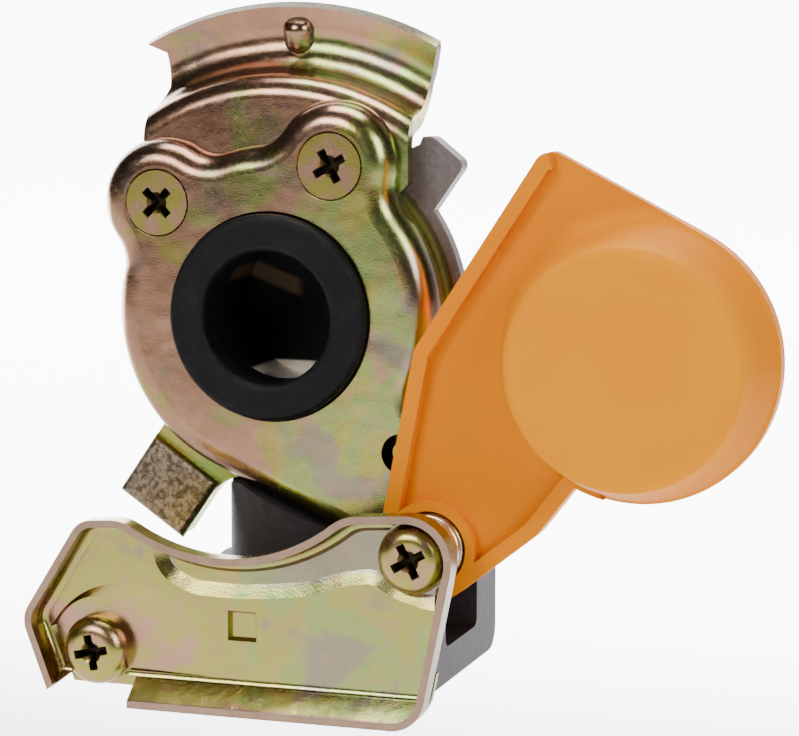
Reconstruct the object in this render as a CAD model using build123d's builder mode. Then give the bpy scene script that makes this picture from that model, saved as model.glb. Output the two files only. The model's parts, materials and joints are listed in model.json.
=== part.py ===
"""Palm coupling head of a trailer's air brakes with a swinging dust cover, in millimetres.

The origin is the centre of the sealing ring's front face. +Z is up and the face looks towards -Y,
so a depth is a distance behind the sealing face.
"""
import os
from math import acos, atan2, cos, degrees, hypot, radians, sin

from build123d import *

# Sealing ring
seal_bore_radius = 11.5
seal_neck_radius = 17.9
seal_flange_radius = 21.0
seal_flange_thickness = 4.0
seal_lip_rounding = 1.2

# Face plate: a raised pan round the seal, a strap and a hooked claw, of one sheet
sheet = 2.5
seal_proud = 2.5
pan_rise = 5.0
pan_foot_radius = 29.5
pan_wall_rounding = 4.6
seal_opening_radius = 18.3
ear_foot_radius = 11.1
ear_blend = 7.0
ear_reach = 0.9
tongue_end_radius = 8.0
tongue_root = (22.1, -5.0)
notch_angle = -26.0
notch_blend = 3.0
pin_hole_radius = 3.5
pin_place = (23.8, -22.7)
pin_radius = 2.2
strap_foot = 14.0
claw_outline = [
    (23.4, 14.0), (23.4, 34.0), (24.0, 39.5), (25.8, 46.0), (25.8, 60.0),
    (-28.4, 60.0), (-28.4, 46.2), (-24.8, 44.6), (-24.1, 38.5), (-25.4, 35.5), (-25.4, 14.0),
]
claw_sweep = 42.0
claw_centre = (-1.0, -4.0)
claw_bend_radius = 44.8
claw_gutter_run = 2.6
claw_lip_run = 9.5
claw_reach = 12.0
claw_lean = 3.5
claw_bend_rounding = 4.2
claw_gutter_rounding = 5.5
detent_radius = 2.9
detent_sheet = 1.5
detent_sink = 0.5
detent_start = 1.4
detent_length = 6.6
detent_rounding = 2.2

# Screw places
plate_screw_circle = 28.4
plate_screw_angles = {"plate_screw_left": 137.5, "plate_screw_right": 67.4}
thread_radius = 3.0
core_radius = 2.5
screw_clearance = 0.3
countersunk_head_radius = 5.65
pan_head_radius = 6.0
pan_head_height = 4.4
recess_width = 6.2
recess_slot = 1.5
recess_depth = 2.6
head_land = 0.25
thread_chamfer = 0.6
pan_head_rounding = 3.0
seat_play = 0.05
plate_screw_length = 18.0
bracket_screw_length = 16.0
pivot_screw_length = 35.0
bracket_screw_place = (-26.2, -57.0)
pivot_place = (31.2, -37.3)
recess_turns = {"plate_screw_left": 45, "plate_screw_right": 30, "bracket_screw": 12, "pivot_screw": 28}

# Second plate with the safety lug
lug_sheet = 3.0
lug_plate_radius = 30.2
lug_angle = 235.5
lug_width = 14.5
lug_end_radius = 45.0
lug_corner = 1.5
lug_root_blend = 8.0
lug_face_start = 32.5
lug_face_proud = 1.6
lug_face_rounding = 1.2
touch = 0.01
seat_clearance = 0.3

# Guide bracket: a tray with its rim turned forward
bracket_sheet = 1.3
bracket_front = -12.5
bracket_rim = 4.5
bracket_step = 0.8
step_taper = 40.0
bracket_left_top = (-27.8, -33.8)
bracket_left = (-38.8, -51.4)
bracket_left_foot = -33.4
bracket_right_foot = 33.2
bracket_roundings = (4.5, 5.0, 1.0, 6.0)
bracket_pivot_radius = 7.8
bracket_scoop_centre = (-1.8, -6.7)
bracket_scoop_radius = 32.0
bracket_scoop_blend = 8.0
upper_band_points = [
    (-13.0, -28.0), (-13.5, -41.5), (-8.0, -43.9), (-1.0, -44.1), (5.0, -43.7), (12.0, -42.8),
    (18.0, -40.8), (24.0, -39.6), (28.5, -42.2), (33.5, -43.6), (44.0, -43.6), (44.0, -28.0),
]
upper_band_roundings = [2.0, 4.0, 6.0, 10.0, 10.0, 10.0, 10.0, 6.0, 8.0, 8.0, 2.0, 2.0]
band_slope = 2.4
pad_radius = 9.0
pad_mouth_radius = 16.0
pad_drift = (5.2, -4.2)
bracket_bend = 2.6
bracket_bottom = -66.0
bracket_fold = -61.2
gutter_gap = [(-19.2, -61.2), (-31.0, -61.2), (-36.0, -65.5), (-36.0, -70.0), (-19.2, -70.0)]
gutter_bend = 1.6
dimple_place = (0.4, -51.2)
dimple_size = 5.2
dimple_depth = 1.1
dimple_taper = 25.0

# Cover and its spring
cap_radius = 23.6
cap_face_radius = 18.7
cap_height = 13.5
cover_wall = 2.2
cover_gap = 0.3
cap_foot = 3.0
cap_rounding = 2.0
cap_slack = 0.8
cover_open_angle = 43.0
wing_corner = (50.8, 30.6)
wing_hip = (28.6, -3.5)
wing_elbow = (50.0, -33.9)
wing_shoulder = (58.6, -22.7)
wing_corner_rounding = 2.5
wing_hip_blend = 4.0
wing_elbow_blend = 12.0
border_end = [(50.0, 34.0), (52.2, 27.6), (55.0, -20.0), (59.4, -25.0), (72.0, -38.0), (110.0, -3.0), (70.0, 50.0)]
cover_border = 2.6
hub_radius = 8.1
hub_height = 2.5
hub_foot_rounding = 2.2
wing_end_radius = 9.0
counterbore_radius = 6.5
counterbore_depth = 3.8
sleeve_radius = 4.4
running_gap = 0.06
washer_thickness = 1.0
spring_wire = 1.4
spring_mean_radius = 5.4
spring_turns = 3.0
spring_rest_gap = 0.05

# Housing casting and the hose port
barrel_radius = 32.0
barrel_back = 29.0
barrel_back_radius = 24.0
chamber_radius = 13.0
chamber_floor = 25.0
neck_radius = 12.5
neck_place = (1.0, 15.0)
passage_radius = 7.0
port_core_radius = 10.2
port_depth = 14.0
port_boss_radius = 14.5
box_bottom = -60.5
box_right = 34.0
box_back = 25.5
box_rounding = 4.0
cast_lug_points = [(14.0, 20.0), (19.0, 27.5), (23.7, 29.6), (24.3, 30.9), (26.2, 30.9), (31.9, 26.3), (24.0, 15.0)]
cast_lug_reach = 40.0
cast_lug_back = 24.0
stop_lug_back = 16.5
cast_corner = 1.6
barrel_rim = 3.0
barrel_rounding = 5.0
boss_radius = 6.4
pivot_boss_radius = 8.0
port_lip = 1.5
port_wall = 4.0
box_shoulder = -42.0
box_front_top = -49.2
arm_back = 6.0
plate_room = 0.5
pocket_front = -4.0
pocket_post = 11.5
pocket_floor = 6.2
pocket_depth = 8.0
pin_seat = 6.0
pin_boss_radius = 5.5
pin_tip = 4.0
boss_rounding = 2.3
hole_runout = 2.0
thread_play = 0.05

os.makedirs("parts", exist_ok=True)

# Levels behind the sealing face
pan_front = seal_proud
field_front = pan_front + pan_rise
field_back = field_front + sheet
housing_front = field_back + lug_sheet
bracket_back = bracket_front + bracket_sheet
bracket_rim_front = bracket_front - bracket_rim
wing_back = -cover_gap
wing_front = wing_back - cover_wall
hub_front = wing_front - hub_height
hub_back = pan_front - cover_gap
counterbore_floor = hub_front + counterbore_depth
pivot_pad_back = bracket_back + bracket_step
tongue_back = pan_front + sheet


def facing(depth):
    """Sketch plane at a depth behind the sealing face. X stays X, sketch Y is Z, and it looks forward."""
    return Plane.XZ.offset(-depth)


def seat(place, depth, turn=0):
    """Location on the front of the object, with its own Z pointing forward."""
    return facing(depth).location * Location((place[0], place[1], 0), (0, 0, turn))


def polar(radius, angle, centre=(0, 0)):
    """Point at a radius and an angle in degrees from a centre."""
    return (centre[0] + radius * cos(radians(angle)), centre[1] + radius * sin(radians(angle)))


def tangent_ends(centre_a, radius_a, centre_b, radius_b, side):
    """Ends of the outer tangent of two circles, left (1) or right (-1) of the way from a to b."""
    run = (centre_b[0] - centre_a[0], centre_b[1] - centre_a[1])
    heading = degrees(atan2(run[1], run[0]))
    lean = degrees(acos((radius_a - radius_b) / hypot(*run)))
    normal = heading + side * lean
    return polar(radius_a, normal, centre_a), polar(radius_b, normal, centre_b)


plate_screw_places = [polar(plate_screw_circle, angle) for angle in plate_screw_angles.values()]
pivot_distance = hypot(*pivot_place)
screw_holes = [
    (plate_screw_places[0], tongue_back, plate_screw_length),
    (plate_screw_places[1], tongue_back, plate_screw_length),
    (pivot_place, field_back, pivot_screw_length + bracket_front - field_back + hole_runout),
    (bracket_screw_place, pivot_pad_back, bracket_screw_length),
]
cap_centre = polar(pivot_distance, cover_open_angle, pivot_place)

def pan_outline(inset):
    """Outline of the pan's foot or, set in, of its hollow: a round field, two ears and the tongue to the pivot."""
    field = pan_foot_radius - inset
    tongue = tongue_end_radius - inset
    low = tangent_ends((0, 0), field, pivot_place, tongue, -1)
    high = tangent_ends(tongue_root, -inset, pivot_place, tongue, 1)
    with BuildSketch() as outline:
        Circle(field)
        with Locations(*plate_screw_places):
            Circle(ear_foot_radius - inset)
        fillet(outline.vertices().filter_by(lambda v: hypot(v.X, v.Y) > ear_reach * field), ear_blend + inset)
        with Locations(pivot_place):
            Circle(tongue)
        Polygon((0, 0), low[0], low[1], pivot_place, high[1], high[0], align=None)
        fillet(outline.vertices().sort_by_distance(polar(field, notch_angle))[0], notch_blend + inset)
    return outline.sketch


with BuildSketch(facing(field_back)) as pan_foot:
    add(pan_outline(0))
with BuildSketch(facing(field_back)) as pan_hollow:
    add(pan_outline(sheet))

with BuildPart() as pan_core:
    extrude(pan_hollow.sketch, amount=field_back - tongue_back)
    fillet(pan_core.faces().sort_by(Axis.Y)[0].edges(), pan_wall_rounding - sheet)

# Screws: each stands at its own seat with its head forward
with BuildPart() as cross_recess:
    with BuildSketch():
        Rectangle(recess_width, recess_slot)
        Rectangle(recess_slot, recess_width)
    extrude(amount=-recess_depth, taper=9)
    Cone(0.1, recess_slot * 1.25, recess_depth, align=(Align.CENTER, Align.CENTER, Align.MAX))


def countersunk_screw(length, turn):
    """Screw with its countersunk head's top at Z 0 and its thread towards -Z."""
    with BuildPart() as screw:
        with BuildSketch(Plane.XZ):
            Polygon(
                (0, 0),
                (countersunk_head_radius, 0),
                (countersunk_head_radius, -head_land),
                (thread_radius, -head_land - countersunk_head_radius + thread_radius),
                (thread_radius, -length),
                (0, -length),
                align=None,
            )
        revolve(axis=Axis.Z)
        chamfer(screw.faces().sort_by(Axis.Z)[0].edges(), thread_chamfer)
        with Locations(Location((0, 0, 0), (0, 0, turn))):
            add(cross_recess.part, mode=Mode.SUBTRACT)
    return screw.part


def pan_head_screw(length, turn):
    """Screw with the underside of its pan head at Z 0 and its thread towards -Z."""
    with BuildPart() as screw:
        Cylinder(pan_head_radius, pan_head_height, align=(Align.CENTER, Align.CENTER, Align.MIN))
        fillet(screw.faces().sort_by(Axis.Z)[-1].edges(), pan_head_rounding)
        Cylinder(thread_radius, length, align=(Align.CENTER, Align.CENTER, Align.MAX))
        chamfer(screw.faces().sort_by(Axis.Z)[0].edges(), thread_chamfer)
        with Locations(Location((0, 0, pan_head_height), (0, 0, turn))):
            add(cross_recess.part, mode=Mode.SUBTRACT)
    return screw.part


# Strap and claw: the section turned about the seal axis, then trimmed to the strap's width
claw_plane = Plane(
    origin=(claw_centre[0], 0, claw_centre[1]),
    x_dir=(0, 1, 0),
    z_dir=(cos(radians(claw_sweep)), 0, sin(radians(claw_sweep))),
)
claw_axis = Axis((claw_centre[0], 0, claw_centre[1]), (0, 1, 0))
claw_gutter_radius = claw_bend_radius + claw_gutter_run
claw_lip_radius = claw_gutter_radius + claw_lip_run
gutter_front = field_front + claw_reach
lip_front = gutter_front - claw_lean
with BuildPart() as claw:
    with BuildSketch(claw_plane):
        with BuildLine():
            claw_face = FilletPolyline(
                (field_front, strap_foot - claw_centre[1]),
                (field_front, claw_bend_radius),
                (gutter_front, claw_gutter_radius),
                (lip_front, claw_lip_radius),
                radius=(claw_bend_rounding, claw_gutter_rounding),
            )
            offset(claw_face, amount=sheet, side=Side.RIGHT, closed=True)
        make_face()
    revolve(axis=claw_axis, revolution_arc=2 * claw_sweep)
    with BuildSketch(facing(field_back + 2 * claw_reach)):
        Polygon(*claw_outline, align=None)
    extrude(amount=3 * claw_reach, mode=Mode.INTERSECT)

# Detent pressed forward out of the claw's lip, and the hollow that it leaves behind
detent_foot = (0, gutter_front, claw_centre[1] + claw_gutter_radius)
detent_plane = Plane(origin=detent_foot, x_dir=(1, 0, 0), z_dir=(0, -claw_lean, claw_lip_run)).offset(detent_start)
with BuildPart() as detent:
    with BuildSketch(detent_plane):
        with Locations((0, detent_sink)):
            Circle(detent_radius)
    extrude(amount=detent_length)
    fillet(detent.edges().filter_by(GeomType.CIRCLE), detent_rounding)
with BuildPart() as detent_hollow:
    with BuildSketch(detent_plane.offset(detent_sheet)):
        with Locations((0, detent_sink)):
            Circle(detent_radius - detent_sheet)
            Rectangle(2 * (detent_radius - detent_sheet), 2 * sheet, align=(Align.CENTER, Align.MIN))
    extrude(amount=detent_length - 2 * detent_sheet)
with BuildPart() as face_plate:
    extrude(pan_foot.sketch, amount=field_back - pan_front)
    fillet(face_plate.faces().sort_by(Axis.Y)[0].edges(), pan_wall_rounding)
    add(claw.part)
    add(detent.part)
    add(detent_hollow.part, mode=Mode.SUBTRACT)
    add(pan_core.part, mode=Mode.SUBTRACT)
    with BuildSketch(facing(field_back)):
        Circle(seal_opening_radius)
        with Locations(pin_place):
            Circle(pin_hole_radius)
        with Locations(pivot_place):
            Circle(thread_radius + screw_clearance)
    extrude(amount=2 * pan_rise, mode=Mode.SUBTRACT)
    with Locations(*[seat(place, pan_front) for place in plate_screw_places]):
        CounterSinkHole(thread_radius + screw_clearance, countersunk_head_radius + head_land + seat_play, 2 * sheet)
face_plate.part.label = "face_plate"

# Second plate, behind the first, with the thick safety lug
boss_notch_radius = boss_radius + seat_clearance
with BuildSketch(facing(housing_front)) as lug_outline:
    Circle(lug_plate_radius)
    with Locations(Location((0, 0, 0), (0, 0, lug_angle))):
        with Locations((lug_end_radius, 0)):
            Rectangle(lug_end_radius, lug_width, align=(Align.MAX, Align.CENTER))
    fillet(lug_outline.vertices().sort_by(Axis.Y)[:2], lug_corner)
    lug_roots = lug_outline.vertices().filter_by(lambda v: abs(hypot(v.X, v.Y) - lug_plate_radius) < touch)
    fillet(lug_roots.sort_by(Axis.X)[-1], lug_root_blend)
with BuildPart() as lug_plate:
    with BuildSketch(facing(housing_front)):
        add(lug_outline.sketch)
        Circle(seal_flange_radius + seat_clearance, mode=Mode.SUBTRACT)
        with Locations(*plate_screw_places):
            Circle(boss_notch_radius, mode=Mode.SUBTRACT)
        with Locations(pin_place):
            Circle(pin_radius + seat_clearance, mode=Mode.SUBTRACT)
    extrude(amount=lug_sheet)
    with BuildSketch(facing(field_back)):
        with Locations(Location((0, 0, 0), (0, 0, lug_angle))):
            with Locations((lug_end_radius, 0)):
                Rectangle(lug_end_radius - lug_face_start, lug_width, align=(Align.MAX, Align.CENTER))
    extrude(amount=lug_face_proud)
    fillet(lug_plate.faces().sort_by(Axis.Y)[0].edges(), lug_face_rounding)
lug_plate.part.label = "lug_plate"

# Rubber ring, held by its flange between the face plate and the housing
seal_flange_back = tongue_back + seal_flange_thickness
with BuildPart() as sealing_ring:
    with BuildSketch(Plane.YZ) as ring_section:
        Polygon(
            (0, seal_bore_radius),
            (0, seal_neck_radius),
            (tongue_back, seal_neck_radius),
            (tongue_back, seal_flange_radius),
            (seal_flange_back, seal_flange_radius),
            (seal_flange_back, seal_bore_radius),
            align=None,
        )
        fillet(ring_section.vertices().sort_by(Axis.X)[:2], seal_lip_rounding)
    revolve(axis=Axis.Y)
sealing_ring.part.label = "sealing_ring"

# Guide bracket
bracket_corners = [
    bracket_left_top,
    bracket_left,
    (bracket_left_foot, bracket_bottom),
    (bracket_right_foot, bracket_bottom),
]
with BuildSketch(facing(bracket_back)) as bracket_outline:
    with BuildLine():
        Polyline(*bracket_corners, close=True)
        CenterArc(pivot_place, bracket_pivot_radius, 0, 360)
    make_hull()
    with Locations(bracket_scoop_centre):
        Circle(bracket_scoop_radius, mode=Mode.SUBTRACT)
    scoop_ends = bracket_outline.vertices().filter_by(
        lambda v: abs(hypot(v.X - bracket_scoop_centre[0], v.Y - bracket_scoop_centre[1]) - bracket_scoop_radius) < touch
    )
    fillet(scoop_ends, bracket_scoop_blend)
    for corner, rounding in zip(bracket_corners, bracket_roundings):
        fillet(bracket_outline.vertices().sort_by_distance(corner)[0], rounding)
with BuildSketch(facing(bracket_front)) as bracket_inside:
    add(bracket_outline.sketch)
    offset(amount=-bracket_sheet)
with BuildSketch(facing(bracket_front)) as steps_field:
    add(bracket_outline.sketch)
    offset(amount=-bracket_bend)
with BuildPart() as tray_room:
    extrude(bracket_inside.sketch, amount=bracket_rim)
    fillet(tray_room.faces().sort_by(Axis.Y)[-1].edges(), bracket_bend - bracket_sheet)

# Level steps of the tray: what is cut from its front is added at its back
with BuildPart() as level_steps:
    for depth, growth in ((bracket_front + bracket_step, touch), (bracket_front, band_slope)):
        with BuildSketch(facing(depth)):
            with BuildLine():
                FilletPolyline(*upper_band_points, radius=upper_band_roundings, close=True)
            make_face()
            offset(amount=growth)
    loft()
    with BuildSketch(facing(bracket_front + bracket_step)):
        with Locations(bracket_screw_place):
            Circle(pad_radius)
    with BuildSketch(facing(bracket_front)):
        with Locations((bracket_screw_place[0] + pad_drift[0], bracket_screw_place[1] + pad_drift[1])):
            Circle(pad_mouth_radius)
    loft()
    with BuildSketch(facing(bracket_front)):
        with Locations(dimple_place):
            Rectangle(dimple_size, dimple_size)
    extrude(amount=-dimple_depth, taper=dimple_taper)
    extrude(steps_field.sketch, amount=-dimple_depth, taper=step_taper, mode=Mode.INTERSECT)

# Gutter along the foot of the tray, sloping down and forward from a rounded fold
gutter_run = (-bracket_rim, bracket_bottom + bracket_sheet - bracket_fold)
gutter_shift = bracket_sheet / hypot(*gutter_run)
fold = (bracket_front, bracket_fold)
gutter_lip = (bracket_rim_front, bracket_fold + gutter_run[1])
lip_back = (gutter_lip[0] - gutter_run[1] * gutter_shift, gutter_lip[1] + gutter_run[0] * gutter_shift)
fold_back = (bracket_back, lip_back[1] + gutter_run[1] * (bracket_back - lip_back[0]) / gutter_run[0])
fold_top = bracket_fold + bracket_rim
with BuildPart() as gutter:
    with BuildSketch(Plane.YZ):
        with BuildLine():
            FilletPolyline((bracket_front, fold_top), fold, gutter_lip, radius=gutter_bend)
            Polyline(
                gutter_lip,
                (bracket_rim_front, bracket_bottom),
                (bracket_back, bracket_bottom),
                (bracket_back, fold_top),
                (bracket_front, fold_top),
            )
        make_face()
    extrude(amount=2 * bracket_right_foot, both=True)
    extrude(bracket_outline.sketch, amount=bracket_sheet + bracket_rim, mode=Mode.INTERSECT)
with BuildPart() as gutter_back:
    with BuildSketch(Plane.YZ):
        with BuildLine():
            FilletPolyline((bracket_back, fold_top), fold_back, lip_back, radius=gutter_bend + bracket_sheet)
            Polyline(
                lip_back,
                (lip_back[0], 2 * bracket_bottom),
                (bracket_back + bracket_sheet, 2 * bracket_bottom),
                (bracket_back + bracket_sheet, fold_top),
                (bracket_back, fold_top),
            )
        make_face()
    extrude(amount=2 * bracket_right_foot, both=True)

with BuildPart() as guide_bracket:
    extrude(bracket_outline.sketch, amount=bracket_sheet + bracket_rim)
    fillet(guide_bracket.faces().sort_by(Axis.Y)[-1].edges(), bracket_bend)
    add(tray_room.part, mode=Mode.SUBTRACT)
    add(gutter.part)
    add(gutter_back.part, mode=Mode.SUBTRACT)
    with BuildSketch(facing(bracket_back)):
        Polygon(*gutter_gap, align=None)
    extrude(amount=2 * bracket_rim, mode=Mode.SUBTRACT)
    add(Pos(0, bracket_sheet, 0) * level_steps.part)
    add(level_steps.part, mode=Mode.SUBTRACT)
    for place in (pivot_place, bracket_screw_place):
        with Locations(seat(place, pivot_pad_back)):
            Cylinder(pan_head_radius, bracket_sheet, align=(Align.CENTER, Align.CENTER, Align.MIN))
        with Locations(seat(place, bracket_front + bracket_step)):
            Cylinder(pan_head_radius + seat_clearance, bracket_rim, align=(Align.CENTER, Align.CENTER, Align.MIN), mode=Mode.SUBTRACT)
            Hole(thread_radius + screw_clearance)
guide_bracket.part.label = "guide_bracket"

# Housing: one casting with the barrel, the neck, the port boss and the arms that carry the bracket
barrel_front_radius = seal_flange_radius
port_face = box_bottom - port_lip
with BuildPart() as housing:
    with BuildSketch(Plane.YZ) as barrel_section:
        Polygon(
            (housing_front, 0),
            (housing_front, barrel_radius),
            (housing_front + barrel_rim, barrel_radius),
            (barrel_back, barrel_back_radius),
            (barrel_back, 0),
            align=None,
        )
        fillet(barrel_section.vertices().sort_by_distance((barrel_back, barrel_back_radius))[0], barrel_rounding)
        fillet(barrel_section.vertices().sort_by_distance((housing_front + barrel_rim, barrel_radius))[0], barrel_rim)
    revolve(axis=Axis.Y)
    # stop lug on the barrel
    with BuildSketch(facing(stop_lug_back)) as cast_lug:
        Polygon(*cast_lug_points, align=None)
        fillet(cast_lug.vertices().filter_by(lambda v: hypot(v.X, v.Y) > cast_lug_reach), cast_corner)
    extrude(amount=stop_lug_back - housing_front)
    # lobes behind the plate screws
    with BuildSketch(facing(cast_lug_back)):
        with Locations(*plate_screw_places):
            Circle(boss_radius + cast_corner)
    extrude(amount=cast_lug_back - housing_front)
    # neck with the air passage, and the boss of the hose port
    with BuildSketch(Plane.XY.offset(box_bottom)):
        with Locations(neck_place):
            Circle(neck_radius)
    extrude(amount=-box_bottom - chamber_radius)
    with BuildSketch(Plane.XY.offset(port_face)):
        with Locations(neck_place):
            Circle(port_boss_radius)
    extrude(amount=port_depth + port_wall)
    # right arm under the cover's pivot
    with BuildSketch(facing(box_back)) as right_arm:
        Polygon(
            (neck_place[0], box_bottom),
            (box_right, box_bottom),
            (box_right, box_shoulder),
            (box_right, pivot_place[1]),
            (pivot_place[0], pivot_place[1] + pivot_boss_radius),
            (neck_place[0], pivot_place[1] + pivot_boss_radius),
            align=None,
        )
    extrude(amount=box_back - field_back)
    back_foot = housing.edges().filter_by(Axis.X).filter_by_position(Axis.Z, box_bottom - touch, box_bottom + touch)
    fillet(back_foot.filter_by_position(Axis.Y, box_back - touch, box_back + touch), box_rounding)
    # web from the arm up to the locating pin
    with BuildSketch(facing(cast_lug_back)):
        with BuildLine():
            CenterArc(pin_place, pin_boss_radius, 0, 360)
            CenterArc(pivot_place, pivot_boss_radius, 0, 360)
        make_hull()
    extrude(amount=cast_lug_back - field_back)
    with BuildSketch(facing(field_back)):
        Polygon(
            (neck_place[0] - neck_radius, box_bottom),
            (box_right, box_bottom),
            (box_right, box_front_top),
            (neck_place[0] - neck_radius, box_front_top),
            align=None,
        )
    extrude(amount=field_back - bracket_back)
    # left arm to the bracket's screw
    with BuildSketch(facing(arm_back)):
        with BuildLine():
            CenterArc(bracket_screw_place, boss_radius, 0, 360)
            Polyline(
                (neck_place[0] - neck_radius, box_bottom),
                (neck_place[0], box_bottom),
                (neck_place[0], box_front_top),
                (neck_place[0] - neck_radius, box_front_top),
                close=True,
            )
        make_hull()
    extrude(amount=arm_back - bracket_back)
    # room for the two plates
    with BuildSketch(facing(field_back)):
        add(pan_foot.sketch)
        offset(amount=plate_room)
    extrude(amount=field_back, mode=Mode.SUBTRACT)
    with BuildSketch(facing(housing_front)):
        add(lug_outline.sketch)
        offset(amount=plate_room)
    extrude(amount=housing_front, mode=Mode.SUBTRACT)
    # spigot behind the seal, and the bosses that stand inside the pan
    with BuildSketch(facing(housing_front)):
        Circle(barrel_front_radius)
    extrude(amount=housing_front - seal_flange_back)
    with BuildSketch(facing(housing_front)):
        with Locations(*plate_screw_places):
            Circle(boss_radius)
    extrude(amount=housing_front - tongue_back)
    fillet(housing.faces().filter_by_position(Axis.Y, tongue_back - 0.01, tongue_back + 0.01).edges(), boss_rounding)
    with BuildSketch(facing(box_back)):
        with Locations(pivot_place):
            Circle(pivot_boss_radius)
    extrude(amount=box_back - field_back)
    with BuildSketch(facing(arm_back)):
        with Locations(bracket_screw_place):
            Circle(boss_radius)
    extrude(amount=arm_back - pivot_pad_back)
    # air chamber, passage and port
    with BuildSketch(facing(chamber_floor)):
        Circle(chamber_radius)
    extrude(amount=chamber_floor, mode=Mode.SUBTRACT)
    with BuildSketch(Plane.XY.offset(port_face)):
        with Locations(neck_place):
            Circle(passage_radius)
    extrude(amount=-port_face, mode=Mode.SUBTRACT)
    with BuildSketch(Plane.XY.offset(port_face)):
        with Locations(neck_place):
            Circle(port_core_radius)
    extrude(amount=port_depth, mode=Mode.SUBTRACT)
    # pocket in the side of the right arm
    with BuildSketch(Plane.YZ.offset(box_right)) as side_pocket:
        Polygon(
            (pocket_front, box_bottom + pocket_floor),
            (box_back - pocket_post, box_bottom + pocket_floor),
            (box_back - pocket_post, box_shoulder),
            (pocket_front, box_shoulder),
            align=None,
        )
        fillet(side_pocket.vertices().sort_by(Axis.Y)[:2], cast_corner)
    extrude(amount=-pocket_depth, mode=Mode.SUBTRACT)
    # screw and pin holes
    for place, mouth, length in screw_holes:
        with Locations(seat(place, mouth)):
            Hole(thread_radius + thread_play, length)
    with Locations(seat(pin_place, housing_front)):
        Hole(pin_radius, pin_seat)
    with Locations(*[seat(place, tongue_back) for place in plate_screw_places]):
        CounterBoreHole(thread_radius + thread_play, thread_radius + head_land + thread_chamfer, thread_chamfer, sheet)
    add(Pos(0, bracket_sheet, 0) * level_steps.part, mode=Mode.SUBTRACT)
housing.part.label = "housing"

# Dust cover, drawn open: a wing with a hollow cap and a hub
wing_hub_left = tangent_ends(wing_hip, 0, pivot_place, wing_end_radius, -1)[1]
wing_hub_right = tangent_ends(wing_elbow, 0, pivot_place, wing_end_radius, 1)[1]
wing_cap_top = tangent_ends(wing_corner, 0, cap_centre, cap_radius, 1)[1]
with BuildSketch(facing(wing_back)) as wing_outline:
    with Locations(pivot_place):
        Circle(wing_end_radius)
    with Locations(cap_centre):
        Circle(cap_radius)
    Polygon(wing_corner, wing_hip, wing_hub_left, pivot_place, wing_hub_right, wing_elbow, wing_shoulder, cap_centre, wing_cap_top, align=None)
    for corner, rounding in ((wing_corner, wing_corner_rounding), (wing_hip, wing_hip_blend), (wing_elbow, wing_elbow_blend)):
        fillet(wing_outline.vertices().sort_by_distance(corner)[0], rounding)
with BuildSketch(facing(wing_front)) as wing_border:
    add(wing_outline.sketch)
    offset(amount=-cover_border, mode=Mode.SUBTRACT)
    Polygon(*border_end, align=None, mode=Mode.SUBTRACT)

with BuildPart() as cap_solid:
    with BuildSketch(Plane.XZ) as cap_section:
        Polygon(
            (0, 0),
            (cap_radius + cap_foot, 0),
            (cap_radius + cap_foot, cover_wall),
            (cap_radius, cover_wall),
            (cap_face_radius + cap_slack, cover_wall + cap_height),
            (0, cover_wall + cap_height),
            align=None,
        )
        fillet(cap_section.vertices().sort_by_distance((cap_radius, cover_wall))[0], cap_foot)
        fillet(cap_section.vertices().sort_by_distance((cap_face_radius + cap_slack, cover_wall + cap_height))[0], cap_rounding)
    revolve(axis=Axis.Z)
with BuildPart() as cap_room:
    with BuildSketch(Plane.XZ) as room_section:
        Polygon(
            (0, 0),
            (cap_radius - cover_wall, 0),
            (cap_face_radius + cap_slack - cover_wall, cap_height),
            (0, cap_height),
            align=None,
        )
        fillet(room_section.vertices().sort_by_distance((cap_face_radius + cap_slack - cover_wall, cap_height))[0], cap_slack)
    revolve(axis=Axis.Z)

with BuildPart() as dust_cover:
    with Locations(seat(cap_centre, wing_back)):
        add(cap_solid.part)
    extrude(wing_outline.sketch, amount=2 * cap_height, mode=Mode.INTERSECT)
    extrude(wing_outline.sketch, amount=cover_wall)
    extrude(wing_border.sketch, amount=hub_height)
    with Locations(seat(pivot_place, hub_back)):
        Cylinder(hub_radius, hub_back - hub_front, align=(Align.CENTER, Align.CENTER, Align.MIN))
    with Locations(seat(cap_centre, wing_back)):
        add(cap_room.part, mode=Mode.SUBTRACT)
    with Locations(seat(pivot_place, hub_front)):
        CounterBoreHole(sleeve_radius + running_gap, counterbore_radius, counterbore_depth)
dust_cover.part.label = "dust_cover"

# Pivot: a sleeve under the screw head, the spring and the washer it stands on
washer_back = counterbore_floor - spring_rest_gap
washer_front = washer_back - washer_thickness
spring_back = washer_front - spring_rest_gap
spring_front = pivot_pad_back + spring_rest_gap
spring_height = spring_back - spring_front - spring_wire
with BuildPart() as pivot_sleeve:
    with BuildSketch(facing(pan_front)):
        with Locations(pivot_place):
            Circle(sleeve_radius)
            Circle(thread_radius + screw_clearance, mode=Mode.SUBTRACT)
    extrude(amount=pan_front - pivot_pad_back)
pivot_sleeve.part.label = "pivot_sleeve"

with BuildPart() as spring_washer:
    with BuildSketch(facing(washer_back)):
        with Locations(pivot_place):
            Circle(counterbore_radius - seat_clearance)
            Circle(sleeve_radius + seat_clearance, mode=Mode.SUBTRACT)
    extrude(amount=washer_thickness)
spring_washer.part.label = "spring_washer"

with BuildPart() as spring_coil:
    with BuildLine() as spring_path:
        Helix(spring_height / spring_turns, spring_height, spring_mean_radius)
    with BuildSketch(Plane(spring_path.line @ 0, z_dir=spring_path.line % 0)):
        Circle(spring_wire / 2)
    sweep()
with BuildPart() as cover_spring:
    with Locations(seat(pivot_place, spring_back - spring_wire / 2)):
        add(spring_coil.part)
cover_spring.part.label = "cover_spring"

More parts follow.
